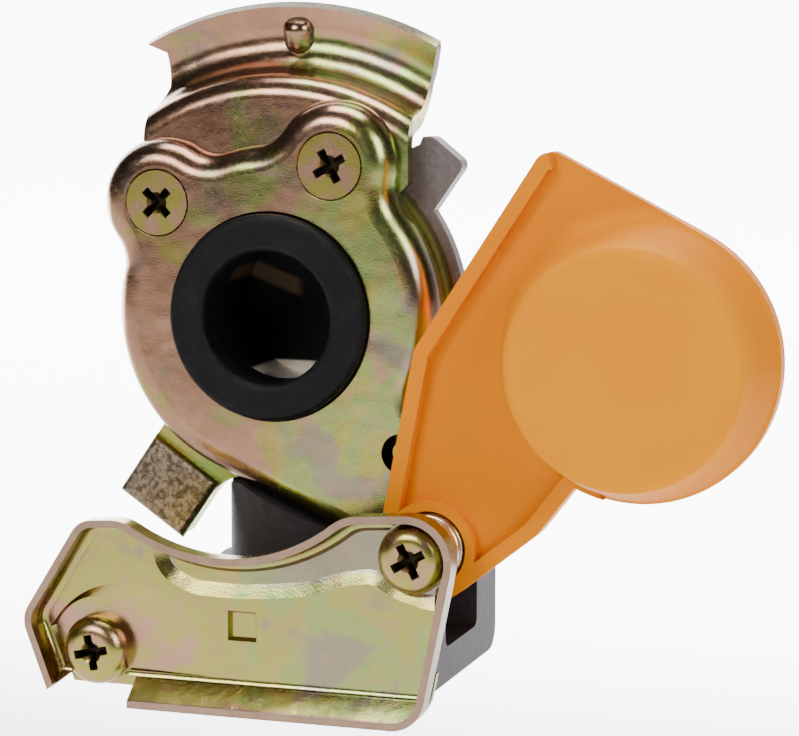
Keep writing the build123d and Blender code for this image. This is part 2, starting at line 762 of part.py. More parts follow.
with BuildPart() as locating_pin:
    with BuildSketch(facing(housing_front + pin_seat)):
        with Locations(pin_place):
            Circle(pin_radius)
    extrude(amount=housing_front + pin_seat - pin_tip)
    chamfer(locating_pin.faces().sort_by(Axis.Y)[0].edges(), head_land)
locating_pin.part.label = "locating_pin"

# Screws in their places
with BuildPart() as plate_screw_left:
    with Locations(seat(plate_screw_places[0], pan_front)):
        add(countersunk_screw(plate_screw_length, recess_turns["plate_screw_left"]))
plate_screw_left.part.label = "plate_screw_left"

with BuildPart() as plate_screw_right:
    with Locations(seat(plate_screw_places[1], pan_front)):
        add(countersunk_screw(plate_screw_length, recess_turns["plate_screw_right"]))
plate_screw_right.part.label = "plate_screw_right"

with BuildPart() as bracket_screw:
    with Locations(seat(bracket_screw_place, bracket_front + bracket_step)):
        add(pan_head_screw(bracket_screw_length, recess_turns["bracket_screw"]))
bracket_screw.part.label = "bracket_screw"

with BuildPart() as pivot_screw:
    with Locations(seat(pivot_place, bracket_front + bracket_step)):
        add(pan_head_screw(pivot_screw_length, recess_turns["pivot_screw"]))
pivot_screw.part.label = "pivot_screw"

pieces = [
    housing,
    face_plate,
    lug_plate,
    guide_bracket,
    sealing_ring,
    plate_screw_left,
    plate_screw_right,
    bracket_screw,
    pivot_screw,
    pivot_sleeve,
    cover_spring,
    spring_washer,
    dust_cover,
    locating_pin,
]
for piece in pieces:
    export_step(piece.part, f"parts/{piece.part.label}.step")
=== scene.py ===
"""Dresses the palm coupling head: plated sheet, casting, rubber, screws, spring and the moulded cover."""

import json
from math import cos, radians, sin, tau

import bpy
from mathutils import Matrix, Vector


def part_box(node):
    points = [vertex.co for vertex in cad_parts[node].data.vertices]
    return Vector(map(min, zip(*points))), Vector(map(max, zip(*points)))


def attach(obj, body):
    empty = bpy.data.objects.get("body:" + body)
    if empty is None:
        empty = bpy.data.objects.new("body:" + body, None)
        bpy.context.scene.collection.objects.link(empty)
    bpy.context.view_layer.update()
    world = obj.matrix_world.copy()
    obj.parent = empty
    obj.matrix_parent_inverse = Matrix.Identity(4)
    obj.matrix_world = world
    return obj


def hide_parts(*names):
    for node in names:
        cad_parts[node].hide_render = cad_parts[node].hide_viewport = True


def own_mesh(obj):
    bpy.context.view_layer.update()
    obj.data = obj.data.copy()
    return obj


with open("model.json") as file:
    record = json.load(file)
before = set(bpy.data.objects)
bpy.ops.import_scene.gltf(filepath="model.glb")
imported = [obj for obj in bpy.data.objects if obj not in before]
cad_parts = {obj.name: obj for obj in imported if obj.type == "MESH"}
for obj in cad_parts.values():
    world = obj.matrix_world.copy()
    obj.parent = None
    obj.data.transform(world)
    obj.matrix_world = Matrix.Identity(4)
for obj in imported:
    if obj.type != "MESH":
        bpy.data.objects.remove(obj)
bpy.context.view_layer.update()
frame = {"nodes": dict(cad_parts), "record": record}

bl_info = {
    "name": "Palm coupling head",
    "version": (1, 0, 0),
    "blender": (4, 5, 0),
    "location": "3D View > Sidebar > Coupling",
    "description": "Builds the finishes and small parts of a palm coupling head",
    "category": "Object",
}

MM = 0.001
NODES = frame["nodes"]


def mm(*values):
    """Millimetres as metres."""
    return tuple(value * MM for value in values)


def beyond(face, *steps):
    """Places that lie so many millimetres beyond a face."""
    return tuple(face + step * MM for step in steps)


# Where a finish changes, in metres: a pair is where the change starts and where it is complete

# Painted shade on the upper left of the face plate
PLATE_SHADE_Z, PLATE_SHADE_X = mm(-40, -15), mm(16, -8)
# The bracket's recessed band, which carries a painted dark reflection
BAND_DEPTH = -11.7 * MM
BAND_X = mm(-6, 12)
CREST_Z = mm(46, 49)
CLAW_END_Z = mm(36, 40)
# Painted shade on the bracket's lower right wall
WALL_Z, WALL_X = mm(-30, -36), mm(20, 24)
# Painted light on the upper casting
LIT_CASTING_Z = mm(-12, 20)
# Painted shade low on the casting
LOW_SHADE_Z = mm(-25, -42)
# The chamber, whose inside carries painted shade, a painted lit patch and a painted highlight
CHAMBER_RADIUS, CHAMBER_Y = mm(14.2, 13.8), mm(27.0, 26.5)
# A painted lit patch on the chamber wall
LIT_PATCH_SLOPE, LIT_PATCH_Z = 0.37, 1.6 * MM
LIT_PATCH_REACH_SQUARED, LIT_PATCH_X = (4.0 * MM * MM, 0.5 * MM * MM), mm(-1.5, -4.0)
# A painted highlight strip on the chamber wall
STRIP_Z, STRIP_X = mm(-10.3, -10.9), mm(1.0, -1.0)
RECESS_RADIUS = mm(3.3, 3.0)

# The same for the part of the surface's normal along an axis

FACING_DOWN, LUG_FACING_DOWN = (0.15, 0.85), (0.3, 0.9)
CREST_FACING_UP = (0.5, 0.8)
CLAW_END_FACING_RIGHT = (0.6, 0.85)
WALL_FACING_RIGHT = (0.75, 0.92)

# Colours that go with those of the panel; a pair is the dark and the light end of a mottle

RIM_CUT = (0.24, 0.14, 0.10), (0.36, 0.25, 0.17)
CLAW_CUT = (0.030, 0.022, 0.010), (0.16, 0.125, 0.050)
# Painted shade on the bracket's lower right wall
BRACKET_WALL_SHADE = (0.22, 0.13, 0.095)
LUG_SKIN = (0.085, 0.060, 0.040), (0.30, 0.23, 0.17)
# Painted light on the upper casting, painted shade low on it and in its chamber, a painted lit patch and a
# painted highlight on the chamber wall
LIT_CASTING = (0.085, 0.072, 0.072), (0.19, 0.175, 0.175)
LOW_SHADE = (0.022, 0.018, 0.020)
CHAMBER_SHADE = (0.006, 0.005, 0.004)
CHAMBER_LIT_PATCH = (0.16, 0.10, 0.06)
CHAMBER_HIGHLIGHT_STRIP = (0.95, 0.85, 0.70)
# Painted shade in a screw's recess
SCREW_RECESS_SHADE = (0.03, 0.024, 0.012)
SPRING_WIRE = (0.78, 0.68, 0.48), (0.72, 0.70, 0.62)
CUT_THREAD = (0.30, 0.29, 0.28), (0.42, 0.41, 0.40)

# Small parts: depths of the painted shade in a screw's recess, in millimetres, then the spring and the thread

RING_PITCH = 0.9 * MM
RECESS_DEPTHS = {"plate_screw_left": 1.0, "plate_screw_right": 1.0, "bracket_screw": 1.3, "pivot_screw": 1.3}
SLEEVE_DEPTH = 1.0
CLOSED_TURN_RISE = 1.03  # in wire diameters
SPRING_POINTS_PER_TURN, SPRING_SIDES = 32, 14
THREAD_POINTS_PER_TURN, THREAD_SIDES = 48, 4
THREAD_FADE_TURNS = 0.5

# The stage, in metres, with the lights' powers in watts

BACKDROP_PAINT = (0.80, 0.80, 0.80), (0.83, 0.83, 0.83)
BLACK, WHITE = (0.0, 0.0, 0.0), (1.0, 1.0, 1.0)
GLOW_Y, GLOW_X = (0.05, 0.4), (0.7, 0.1)
BACKDROP_HALF_WIDTH = 3.0
BACKDROP_FRONT, BACKDROP_BACK, BACKDROP_TOP = -2.5, 1.2, 3.0
SWEEP_RADIUS, SWEEP_STEPS = 0.5, 24
CAMERA_PLACE = (0.1787, -0.4611, 0.0609)
CAMERA_AIM = (-0.3142, 0.9391, -0.1392)
SENSOR_WIDTH = 36.0
CLIP_START, CLIP_END = 0.01, 20.0
WORLD_COLOUR, WORLD_STRENGTH = (1.0, 0.95, 0.9, 1.0), 0.05
LIGHTS = (
    ("right", (0.85, -0.6, 0.45), (0.4, 0.5), 6.5),
    ("top", (0.0, -0.05, 0.9), (0.6, 0.32), 8),
    ("left", (-0.32, -0.95, 0.55), (0.55, 0.35), 8),
)


# Sizes and colours that a user would change

class CouplingColours(bpy.types.PropertyGroup):
    plate_olive: bpy.props.FloatVectorProperty(
        name="Plate olive", description="Main tint of the yellow passivated plate",
        default=(0.36, 0.325, 0.085), subtype="COLOR", size=3)
    plate_rose: bpy.props.FloatVectorProperty(
        name="Plate rose", description="Rosy patches of the passivation film",
        default=(0.43, 0.235, 0.165), subtype="COLOR", size=3)
    plate_green: bpy.props.FloatVectorProperty(
        name="Plate green", description="Greenish patches of the passivation film",
        default=(0.28, 0.35, 0.11), subtype="COLOR", size=3)
    # Also used for the painted dark reflection on the bracket's recessed band
    plate_grey: bpy.props.FloatVectorProperty(
        name="Plate grey", description="Purple grey patches of the passivation film",
        default=(0.25, 0.20, 0.18), subtype="COLOR", size=3)
    # Painted shade: this brown darkens faces that look down and the upper left of the face plate
    plate_brown: bpy.props.FloatVectorProperty(
        name="Plate brown", description="Brown of the sides that face down",
        default=(0.13, 0.055, 0.028), subtype="COLOR", size=3)
    casting: bpy.props.FloatVectorProperty(
        name="Casting", description="Skin of the die casting",
        default=(0.062, 0.055, 0.057), subtype="COLOR", size=3)
    cover: bpy.props.FloatVectorProperty(
        name="Cover", description="Moulded colour of the dust cover",
        default=(0.74, 0.265, 0.0), subtype="COLOR", size=3)
    rubber: bpy.props.FloatVectorProperty(
        name="Rubber", description="Colour of the sealing ring",
        default=(0.0045, 0.0045, 0.005), subtype="COLOR", size=3)


class CouplingSizes(bpy.types.PropertyGroup):
    spring_wire: bpy.props.FloatProperty(
        name="Spring wire", description="Diameter of the spring's wire", default=0.0014, unit="LENGTH")
    spring_turns: bpy.props.FloatProperty(
        name="Spring turns", description="Turns of the spring, closed ends included", default=3.75)
    closed_turns: bpy.props.FloatProperty(
        name="Closed turns", description="Turns that lie flat at each end of the spring", default=0.75)
    thread_pitch: bpy.props.FloatProperty(
        name="Thread pitch", description="Pitch of the hose port's thread", default=0.0015, unit="LENGTH")
    thread_depth: bpy.props.FloatProperty(
        name="Thread depth", description="Height of the thread's ridge", default=0.0007, unit="LENGTH")


class StageSizes(bpy.types.PropertyGroup):
    lens: bpy.props.FloatProperty(
        name="Lens", description="Focal length of the camera", default=130.7, unit="CAMERA")
    floor_depth: bpy.props.FloatProperty(
        name="Floor depth", description="Height of the floor", default=-0.13, unit="LENGTH")


# Node trees written as expressions

class Wire:
    """One socket of a node tree that Python's operators work on."""

    def __init__(self, tree, socket):
        self.tree = tree
        self.socket = socket

    def __add__(self, other):
        return self.tree.maths("ADD", self, other)

    def __radd__(self, other):
        return self.tree.maths("ADD", other, self)

    def __sub__(self, other):
        return self.tree.maths("SUBTRACT", self, other)

    def __rsub__(self, other):
        return self.tree.maths("SUBTRACT", other, self)

    def __mul__(self, other):
        return self.tree.maths("MULTIPLY", self, other)

    def __rmul__(self, other):
        return self.tree.maths("MULTIPLY", other, self)

    def __pow__(self, other):
        return self.tree.maths("POWER", self, other)

    def __rpow__(self, other):
        return self.tree.maths("POWER", other, self)

    def __neg__(self):
        return self.tree.maths("MULTIPLY", self, -1.0)


def placed(name, data):
    """A new object of the scene that holds a mesh, a light or a camera."""
    made = bpy.data.objects.new(name, data)
    bpy.context.scene.collection.objects.link(made)
    return made


def spaced(key):
    """A socket's name as Blender writes it."""
    return key.replace("_", " ")


class Tree:
    """Writes the nodes of a material or a geometry tree."""

    columns, column_width, row_height = 12, 200, 220

    def __init__(self, nodes, links):
        self.nodes = nodes
        self.links = links

    def node(self, kind, settings=None, *values, output=0, **named):
        """Adds a node, sets its settings, fills its inputs in order and by name, and gives one output."""
        made = self.nodes.new(kind)
        for key, value in (settings or {}).items():
            setattr(made, key, value)
        for index, value in enumerate(values):
            self.fill(made.inputs[index], value)
        for key, value in named.items():
            self.fill(made.inputs[spaced(key)], value)
        row, column = divmod(len(self.nodes), self.columns)
        made.location = (column * self.column_width, -row * self.row_height)
        return Wire(self, made.outputs[output])

    def fill(self, socket, value):
        """Links a wire to a socket, or writes a value into it."""
        if isinstance(value, Wire):
            self.links.new(value.socket, socket)
        elif hasattr(socket.default_value, "__len__") and len(socket.default_value) == 4 and len(value) == 3:
            socket.default_value = (*value, 1.0)
        else:
            socket.default_value = value

    def maths(self, operation, *values):
        return self.node("ShaderNodeMath", {"operation": operation}, *values)


class Finish(Tree):
    """A material whose surface is one principled shader."""

    mix_low, mix_high, mix_result = 6, 7, 2

    def __init__(self, name, **uniform):
        self.material = bpy.data.materials.new(name)
        self.material.use_nodes = True
        tree = self.material.node_tree
        tree.nodes.clear()
        super().__init__(tree.nodes, tree.links)
        self.surface = tree.nodes.new("ShaderNodeBsdfPrincipled")
        out = tree.nodes.new("ShaderNodeOutputMaterial")
        tree.links.new(self.surface.outputs[0], out.inputs["Surface"])
        self.place = self.node("ShaderNodeTexCoord", output="Object")
        self.paint(**uniform)

    def paint(self, **inputs):
        """Fills sockets of the shader and gives the material."""
        for key, value in inputs.items():
            self.fill(self.surface.inputs[spaced(key)], value)
        return self.material

    def split(self, vector):
        """X, Y and Z of a vector."""
        made = self.node("ShaderNodeSeparateXYZ", None, vector)
        return [Wire(self, socket) for socket in made.socket.node.outputs]

    def parts(self):
        """X, Y and Z of the place on the object."""
        return self.split(self.place)

    def facing(self):
        """X, Y and Z of the surface's normal."""
        return self.split(self.node("ShaderNodeNewGeometry", output="Normal"))

    def noise(self, size_mm, detail=3.0, roughness=0.5, distortion=0.0, offset=(0, 0, 0)):
        """Soft noise from 0 to 1 whose lumps are about size_mm wide."""
        place = self.node("ShaderNodeMapping", None, self.place, Location=offset)
        return self.node("ShaderNodeTexNoise", None, Vector=place, Scale=1000.0 / size_mm, Detail=detail,
                         Roughness=roughness, Distortion=distortion)

    def ramp(self, value, low, high):
        """Smooth change from 0 at low to 1 at high, whichever of the two is the larger."""
        return self.node("ShaderNodeMapRange", {"interpolation_type": "SMOOTHSTEP"}, Value=value,
                         From_Min=low, From_Max=high)

    def mix(self, share, low, high):
        """Colour low where share is 0, high where it is 1."""
        made = self.node("ShaderNodeMix", {"data_type": "RGBA"}, share, output=self.mix_result)
        self.fill(made.socket.node.inputs[self.mix_low], low)
        self.fill(made.socket.node.inputs[self.mix_high], high)
        return made

    def coats(self, base, *coats):
        """A base colour with coats over it in turn, each a share from 0 to 1 and its colour."""
        for share, colour in coats:
            base = self.mix(share, base, colour)
        return base

    def relief(self, height, depth_mm):
        """Normal of a bump of depth_mm from a height from 0 to 1."""
        return self.node("ShaderNodeBump", None, Strength=1.0, Distance=depth_mm * MM, Height=height)


class Growth(Tree):
    """A geometry tree with named inputs that makes one piece."""

    def __init__(self, name, **sizes):
        self.name = name
        self.sizes = sizes
        self.group = bpy.data.node_groups.new(name, "GeometryNodeTree")
        sockets = self.group.interface
        sockets.new_socket("Geometry", in_out="OUTPUT", socket_type="NodeSocketGeometry")
        self.keys = {}
        for key, value in sizes.items():
            if key == "Finish":
                kind = "NodeSocketMaterial"
            elif isinstance(value, int):
                kind = "NodeSocketInt"
            else:
                kind = "NodeSocketFloat"
            self.keys[key] = sockets.new_socket(spaced(key), in_out="INPUT", socket_type=kind).identifier
        super().__init__(self.group.nodes, self.group.links)
        self.given = self.nodes.new("NodeGroupInput")

    def size(self, key):
        """One of the tree's named inputs."""
        return Wire(self, self.given.outputs[spaced(key)])

    def span(self, value, low, high, start, end):
        """Straight ramp from start to end while value goes from low to high."""
        return self.node("ShaderNodeMapRange", None, value, low, high, start, end)

    def helix(self, share, turns, radius, centre, axis, along):
        """Points wound about an axis, Y or Z: share runs from 0 to 1, along is the place on the axis."""
        angle = share * turns * tau
        across = self.maths("COSINE", angle) * radius
        up = self.maths("SINE", angle) * radius
        if axis == "Y":
            return self.node("ShaderNodeCombineXYZ", None, across + centre[0], along, up + centre[2])
        return self.node("ShaderNodeCombineXYZ", None, across + centre[0], up + centre[1], along)

    def wire(self, points, count, profile):
        """Tube of a profile along points given on a line's spline parameter."""
        line = self.node("GeometryNodeCurvePrimitiveLine")
        dense = self.node("GeometryNodeResampleCurve", None, Curve=line, Count=count)
        path = self.node("GeometryNodeSetPosition", None, Geometry=dense, Position=points)
        return self.node("GeometryNodeCurveToMesh", None, Curve=path, Profile_Curve=profile, Fill_Caps=True)

    def piece(self, geometry, body, slot):
        """Turns the tree's result into a plain piece that rides on a body."""
        smooth = self.node("GeometryNodeSetShadeSmooth", None, Geometry=geometry)
        dressed = self.node("GeometryNodeSetMaterial", None, Geometry=smooth, Material=self.size("Finish"))
        out = self.nodes.new("NodeGroupOutput")
        self.links.new(self.node("GeometryNodeRealizeInstances", None, Geometry=dressed).socket, out.inputs[0])
        made = placed(self.name, bpy.data.meshes.new(self.name))
        modifier = made.modifiers.new(self.name, "NODES")
        modifier.node_group = self.group
        for key, value in self.sizes.items():
            modifier[self.keys[key]] = value
        depsgraph = bpy.context.evaluated_depsgraph_get()
        mesh = bpy.data.meshes.new_from_object(made.evaluated_get(depsgraph))
        made.modifiers.remove(modifier)
        made.data = mesh
        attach(made, body)
        return made


# Finishes

def colours():
    """The colours of the panel."""
    return bpy.context.scene.coupling_colours


def toned(colour, red, green, blue):
    """A colour with its channels multiplied, none above 1."""
    return tuple(min(1.0, channel * factor) for channel, factor in zip(colour, (red, green, blue)))


def from_axis(across, up):
    """Distance from an axis, from the two parts of it."""
    return (across * across + up * up) ** 0.5


def plated_finish():
    """Yellow passivated zinc on pressed sheet, with rosy, green and grey patches; painted brown shade on faces
    that look down and on the upper left of the face plate, a painted dark reflection on the bracket's recessed
    band and painted shade on its lower right wall.
    """
    look = colours()
    finish = Finish("plated_sheet", Specular_IOR_Level=0.08)
    broad = finish.noise(17, distortion=0.8)
    patch = finish.noise(12, distortion=0.6, offset=(0.3, 0.1, 0.7))
    cloud = finish.noise(13, distortion=0.6, offset=(0.9, 0.4, 0.2))
    mottle = finish.noise(3.2, roughness=0.6)
    speck = finish.noise(0.6, detail=2.0, roughness=0.6)
    grain = finish.noise(0.35, detail=2.0, roughness=0.6)
    wave = finish.noise(9.0, detail=2.0)
    x, y, z = finish.parts()
    right, _, up = finish.facing()
    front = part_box("guide_bracket")[0][1]

    # Painted shade: the upper left of the face plate is made browner
    film = finish.ramp(z, *PLATE_SHADE_Z) * finish.ramp(x, *PLATE_SHADE_X)
    # Painted reflection: the bracket's recessed band is made purple grey, as if it mirrored something dark
    band = (finish.ramp(y, *beyond(BAND_DEPTH, 0.3, 0.1)) * finish.ramp(y, *beyond(BAND_DEPTH, -0.3, -0.1))
            * finish.ramp(x, *BAND_X))
    rim = finish.ramp(y, *beyond(front, 0.35, 0.1))
    # Painted shade: faces that look down are made brown
    painted_downface_shade = finish.ramp(-up, *FACING_DOWN)
    crest = finish.ramp(up, *CREST_FACING_UP) * finish.ramp(z, *CREST_Z)
    end = finish.ramp(right, *CLAW_END_FACING_RIGHT) * finish.ramp(z, *CLAW_END_Z)
    cut = 1.0 - (1.0 - crest) * (1.0 - end)
    # Painted shade: the bracket's lower right wall, which faces right, is made a dull dark brown
    wall = finish.ramp(right, *WALL_FACING_RIGHT) * finish.ramp(z, *WALL_Z) * finish.ramp(x, *WALL_X)
    tint = finish.coats(
        look.plate_olive,
        (finish.ramp(broad - x * 2.0 + z * 2.4, 0.44, 0.54), look.plate_rose),
        (finish.ramp(patch + x * 4.0, 0.52, 0.62), look.plate_green),
        (finish.ramp(cloud, 0.54, 0.64) * 0.8, look.plate_grey),
        (film * 0.45, look.plate_brown),
        (finish.ramp(speck, 0.45, 0.75) * 0.4, look.plate_olive),
        (finish.ramp(mottle, 0.45, 0.7) * 0.35, look.plate_rose),
        (band * 0.75, look.plate_grey),
        (rim, finish.mix(mottle, *RIM_CUT)),
        (painted_downface_shade * 0.85, look.plate_brown),
        (cut, finish.mix(finish.ramp(speck, 0.35, 0.65), *CLAW_CUT)),
        (wall * 0.8, BRACKET_WALL_SHADE),
    )
    rough = 0.17 + finish.ramp(speck, 0.3, 0.8) * 0.08 + patch * 0.05 + cut * 0.2
    normal = finish.relief(grain * 0.2 + wave * 2.6, 0.09)
    return finish.paint(Base_Color=tint, Metallic=1.0 - cut * 0.85 - wall * 0.85, Roughness=rough, Normal=normal)


def lug_finish():
    """Passivated plate whose thick lug keeps a rough brown face."""
    look = colours()
    finish = Finish("forged_lug", Metallic=1.0)
    speck = finish.noise(0.8, roughness=0.65)
    patch = finish.noise(9.0, detail=2.0)
    _, y, _ = finish.parts()
    _, _, up = finish.facing()
    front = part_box("lug_plate")[0][1]
    face = finish.ramp(y, *beyond(front, 0.5, 0.1))
    tint = finish.coats(
        look.plate_olive,
        (finish.ramp(patch, 0.4, 0.6), look.plate_green),
        (face, finish.mix(finish.ramp(speck, 0.35, 0.65), *LUG_SKIN)),
        # Painted shade: faces of the lug plate that look down are made brown
        (finish.ramp(-up, *LUG_FACING_DOWN) * 0.7, look.plate_brown),
    )
    normal = finish.relief(speck * 0.9 + patch * 0.3, 0.12)
    return finish.paint(Base_Color=tint, Roughness=0.28 + face * 0.14, Normal=normal)


def casting_finish():
    """Die-cast aluminium skin: matt, mottled grey with a fine pebble; painted light makes the upper casting
    lighter, painted shade makes it dark towards the bottom and in the chamber, and a painted lit patch and a
    painted highlight strip lie on the chamber wall.
    """
    look = colours()
    finish = Finish("die_cast_skin", Specular_IOR_Level=0.08)
    mottle = finish.noise(9, detail=4.0, roughness=0.6, distortion=0.4)
    fine = finish.noise(0.9, roughness=0.6)
    x, y, z = finish.parts()
    # Painted shade: the casting is made dark and less metallic towards the bottom
    painted_low_shade = finish.ramp(z, *LOW_SHADE_Z)
    inside = finish.ramp(from_axis(x, z), *CHAMBER_RADIUS) * finish.ramp(y, *CHAMBER_Y)
    # Painted light: a tan lit patch on the chamber wall
    from_lit_patch = z + x * LIT_PATCH_SLOPE - LIT_PATCH_Z
    painted_lit_patch = finish.ramp(from_lit_patch * from_lit_patch, *LIT_PATCH_REACH_SQUARED) * finish.ramp(x, *LIT_PATCH_X) * inside
    # Painted highlight: a bright cream strip on the chamber wall
    strip = finish.ramp(z, *STRIP_Z) * finish.ramp(x, *STRIP_X) * inside
    tint = finish.coats(
        toned(look.casting, 0.7, 0.7, 0.7),
        (finish.ramp(mottle, 0.35, 0.65), look.casting),
        (finish.ramp(fine, 0.45, 0.8) * 0.5, toned(look.casting, 1.7, 1.7, 1.7)),
        # Painted light: the upper casting is made lighter
        (finish.ramp(z, *LIT_CASTING_Z), finish.mix(fine, *LIT_CASTING)),
        (painted_low_shade * 0.85, LOW_SHADE),
        # Painted shade: the inside of the chamber is made near black
        (inside * 0.85, CHAMBER_SHADE),
        (painted_lit_patch, CHAMBER_LIT_PATCH),
        (strip, CHAMBER_HIGHLIGHT_STRIP),
    )
    normal = finish.relief(fine * 0.7 + mottle * 0.6, 0.12)
    return finish.paint(Base_Color=tint, Metallic=0.5 - painted_low_shade * 0.5, Roughness=0.48 + fine * 0.15, Normal=normal)


def rubber_finish():
    """Moulded rubber with faint rings about the seal axis."""
    look = colours()
    finish = Finish("moulded_rubber", Specular_IOR_Level=0.12)
    fine = finish.noise(0.7, detail=2.0)
    x, _, z = finish.parts()
    rings = finish.maths("SINE", from_axis(x, z) * (tau / RING_PITCH))
    dust = finish.ramp(finish.noise(5, roughness=0.6), 0.4, 0.8)
    tint = finish.mix(dust * 0.6, look.rubber, toned(look.rubber, 2.4, 2.4, 2.4))
    normal = finish.relief(rings * 0.25 + fine * 0.4, 0.05)
    return finish.paint(Base_Color=tint, Roughness=0.42 + fine * 0.12, Normal=normal)


def cover_finish():
    """Amber moulded plastic with a soft, slightly uneven gloss, and painted shade that makes it deeper towards
    the leaf.
    """
    look = colours()
    finish = Finish("amber_plastic", Specular_IOR_Level=0.012)
    flow = finish.noise(22, detail=2.0, distortion=0.8)
    fine = finish.noise(0.5, detail=2.0)
    cloud = finish.noise(5.0, roughness=0.6)
    _, y, _ = finish.parts()
    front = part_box("dust_cover")[0][1]
    tint = finish.coats(
        look.cover,
        (finish.ramp(flow, 0.35, 0.65) * 0.6 + cloud * 0.2, toned(look.cover, 0.97, 0.88, 0.8)),
        # Painted shade: the cover is made deeper orange further back, towards the leaf
        (finish.ramp(y, *beyond(front, 1.0, 7.0)) * 0.6, toned(look.cover, 0.9, 0.66, 1.0)),
    )
    normal = finish.relief(flow * 0.6 + fine * 0.06, 0.12)
    return finish.paint(Base_Color=tint, Roughness=0.42 + fine * 0.08, Normal=normal)


def screw_finish(name, depth):
    """Passivated screw steel with painted shade in its recess, fully dark so many millimetres below the head's
    top.
    """
    look = colours()
    low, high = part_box(name)
    finish = Finish("passivated_" + name, Metallic=1.0)
    patch = finish.noise(3.0, roughness=0.6)
    fine = finish.noise(0.25, detail=2.0, roughness=0.6)
    x, y, z = finish.parts()
    radius = from_axis(x - (low[0] + high[0]) / 2, z - (low[2] + high[2]) / 2)
    # Painted shade: the screw's recess is made dark
    recess = finish.ramp(y, *beyond(low[1], 0.15, depth)) * finish.ramp(radius, *RECESS_RADIUS)
    tint = finish.coats(
        toned(look.plate_olive, 1.0, 0.95, 0.85),
        (finish.ramp(patch, 0.4, 0.65), look.plate_rose),
        (recess, SCREW_RECESS_SHADE),
    )
    rough = 0.2 + patch * 0.12 + recess * 0.3
    return finish.paint(Base_Color=tint, Roughness=rough, Normal=finish.relief(fine, 0.02))


def spring_finish():
    """Bright plated wire."""
    finish = Finish("bright_wire", Metallic=1.0)
    patch = finish.noise(2.5, detail=2.0, roughness=0.6)
    tint = finish.mix(finish.ramp(patch, 0.35, 0.7), *SPRING_WIRE)
    return finish.paint(Base_Color=tint, Roughness=0.2 + patch * 0.1, Normal=finish.relief(patch, 0.01))


def thread_finish():
    """Freshly cut aluminium."""
    finish = Finish("cut_thread", Metallic=1.0)
    fine = finish.noise(0.4, detail=2.0, roughness=0.6)
    tint = finish.mix(fine, *CUT_THREAD)
    return finish.paint(Base_Color=tint, Roughness=0.28 + fine * 0.12, Normal=finish.relief(fine, 0.02))


def stage_finish():
    """Plain pale backdrop that glows behind the object like a lit sweep."""
    finish = Finish("pale_floor", Specular_IOR_Level=0.1, Emission_Strength=8.5)
    x, y, _ = finish.parts()
    glow = finish.ramp(y, *GLOW_Y) * finish.ramp(x, *GLOW_X)
    return finish.paint(
        Base_Color=finish.mix(finish.noise(400, detail=1.0, roughness=0.4), *BACKDROP_PAINT),
        Emission_Color=finish.mix(glow, BLACK, WHITE), Roughness=0.9)


# Operators

def named(rows, name):
    """The row of a list that has this name."""
    return next(row for row in rows if row["name"] == name)


def finish_nodes(material, *names):
    """Gives CAD nodes one material."""
    for name in names:
        node = NODES[name]
        node.data.materials.clear()
        node.data.materials.append(material)


class FinishCasting(bpy.types.Operator):
    """Gives the housing its cast skin"""
    bl_idname = "coupling.casting"
    bl_label = "Casting"

    def execute(self, context):
        finish_nodes(casting_finish(), "housing")
        return {"FINISHED"}


class FinishSheet(bpy.types.Operator):
    """Gives the face plate, lug plate and bracket their plated finish"""
    bl_idname = "coupling.sheet"
    bl_label = "Plated sheet"

    def execute(self, context):
        finish_nodes(plated_finish(), "face_plate", "guide_bracket")
        finish_nodes(lug_finish(), "lug_plate")
        return {"FINISHED"}


class FinishRing(bpy.types.Operator):
    """Gives the sealing ring its rubber"""
    bl_idname = "coupling.ring"
    bl_label = "Sealing ring"

    def execute(self, context):
        finish_nodes(rubber_finish(), "sealing_ring")
        return {"FINISHED"}


class FinishScrews(bpy.types.Operator):
    """Gives the screws, sleeve and pin their finish"""
    bl_idname = "coupling.screws"
    bl_label = "Screws"

    def execute(self, context):
        for name, depth in RECESS_DEPTHS.items():
            finish_nodes(screw_finish(name, depth), name)
        finish_nodes(screw_finish("pivot_sleeve", SLEEVE_DEPTH), "pivot_sleeve", "locating_pin")
        return {"FINISHED"}


class BuildSpring(bpy.types.Operator):
    """Winds the cover's spring with closed ends and finishes its washer"""
    bl_idname = "coupling.spring"
    bl_label = "Spring"

    def execute(self, context):
        finish_nodes(spring_finish(), "spring_washer")
        sizes = context.scene.coupling_sizes
        low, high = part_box("cover_spring")
        wire = sizes.spring_wire
        turns = sizes.spring_turns
        centre = [(a + b) / 2 for a, b in zip(low, high)]
        length = high[1] - low[1] - wire
        closed = sizes.closed_turns / turns
        rise = sizes.closed_turns * wire * CLOSED_TURN_RISE
        tree = Growth("spring_coil", Turns=turns, Wire_Radius=wire / 2, Mean_Radius=(high[0] - low[0] - wire) / 2,
                      Points=int(turns * SPRING_POINTS_PER_TURN), Finish=spring_finish())
        share = tree.node("GeometryNodeSplineParameter")
        start = low[1] + wire / 2
        along = (tree.span(share, 0.0, closed, start, start + rise)
                 + tree.span(share, closed, 1.0 - closed, 0.0, length - 2 * rise)
                 + tree.span(share, 1.0 - closed, 1.0, 0.0, rise))
        points = tree.helix(share, tree.size("Turns"), tree.size("Mean_Radius"), centre, "Y", along)
        profile = tree.node("GeometryNodeCurvePrimitiveCircle", None, Resolution=SPRING_SIDES,
                            Radius=tree.size("Wire_Radius"))
        spring = tree.piece(tree.wire(points, tree.size("Points"), profile), "head", "spring_steel")
        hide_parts("cover_spring")
        travel = named(frame["record"]["behaviour"]["joints"], "cover_lift")["range_m"][1]
        1 - travel / (high[1] - low[1])
        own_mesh(spring)
        return {"FINISHED"}


